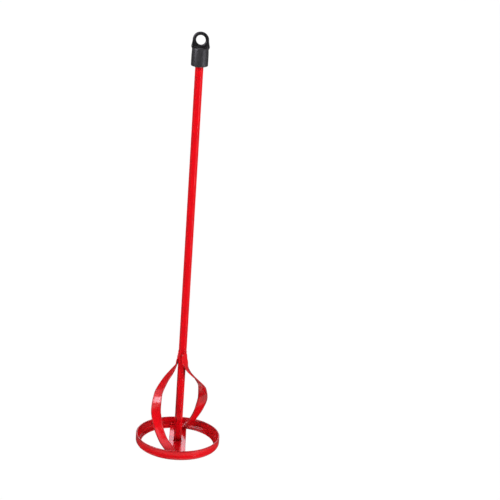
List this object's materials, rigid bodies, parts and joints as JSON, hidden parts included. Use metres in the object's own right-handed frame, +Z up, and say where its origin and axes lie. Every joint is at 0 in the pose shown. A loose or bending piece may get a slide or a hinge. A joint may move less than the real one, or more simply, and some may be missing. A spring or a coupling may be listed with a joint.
{
  "type": "drill paint mixer",
  "caption": "Paint mixer for a drill: hexagonal steel shaft, twisted strip blades, cross bar and rolled mixing ring, with a plastic hanging cap that pulls off the shank.",
  "frame": {"origin": "on the shaft's axis, in the plane that the mixing ring's lip stands on (bottom centre of the bounding box)", "axes": "+Z up along the shaft towards the shank and cap; the cross bar runs front to back along Y, with -Y the front; X is left to right, across the shank's front flat"},
  "size_m": [0.1, 0.1, 0.502],
  "materials": {
    "red_enamel": "glossy red enamel",
    "painted_weld": "satin, thinner over the weld's ripples",
    "black_plastic": "fine moulded grain"
  },
  "bodies": {
    "mixer": {"hex_shaft": "red_enamel", "mixing_ring": "red_enamel", "cross_bar": "red_enamel", "blade_back": "red_enamel", "blade_front": "red_enamel", "blade_top_weld_back": "painted_weld", "blade_top_weld_front": "painted_weld", "blade_foot_weld_back": "painted_weld", "blade_foot_weld_front": "painted_weld", "bar_end_weld_back": "painted_weld", "bar_end_weld_front": "painted_weld", "shaft_foot_weld": "painted_weld", "ring_seam_weld": "painted_weld"},
    "cap": {"hanging_cap": "black_plastic"}
  },
  "joints": [
    {"name": "cap_pull", "type": "slide", "parent": "mixer", "child": "cap", "axis": [0, 0, 1], "range_m": [0, 0.03]}
  ]
}
